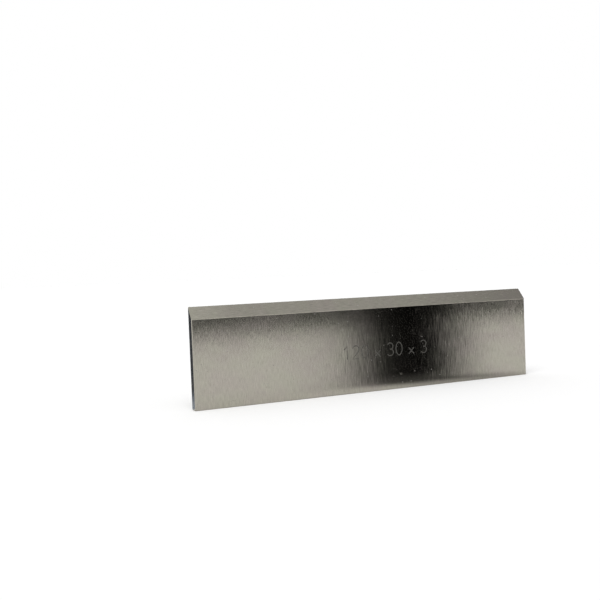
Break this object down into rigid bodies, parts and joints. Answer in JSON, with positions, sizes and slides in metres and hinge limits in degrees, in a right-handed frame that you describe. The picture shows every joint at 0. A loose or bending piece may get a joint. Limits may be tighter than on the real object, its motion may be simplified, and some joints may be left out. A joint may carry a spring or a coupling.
{
  "type": "planer knife",
  "caption": "Flat ground steel planer knife: a thin rectangular bar with one long edge ground to a single bevel, square ends and no holes.",
  "frame": {"origin": "middle of the back edge, the long narrow face that the knife stands on", "axes": "+X along the knife, +Y from the bevelled front face to the flat back face, +Z from the back edge up to the cutting edge"},
  "size_m": [0.12, 0.003, 0.03],
  "materials": {
    "ground_steel": "satin ground across the faces"
  },
  "bodies": {
    "root": {"planer_knife": "ground_steel"}
  },
  "joints": []
}
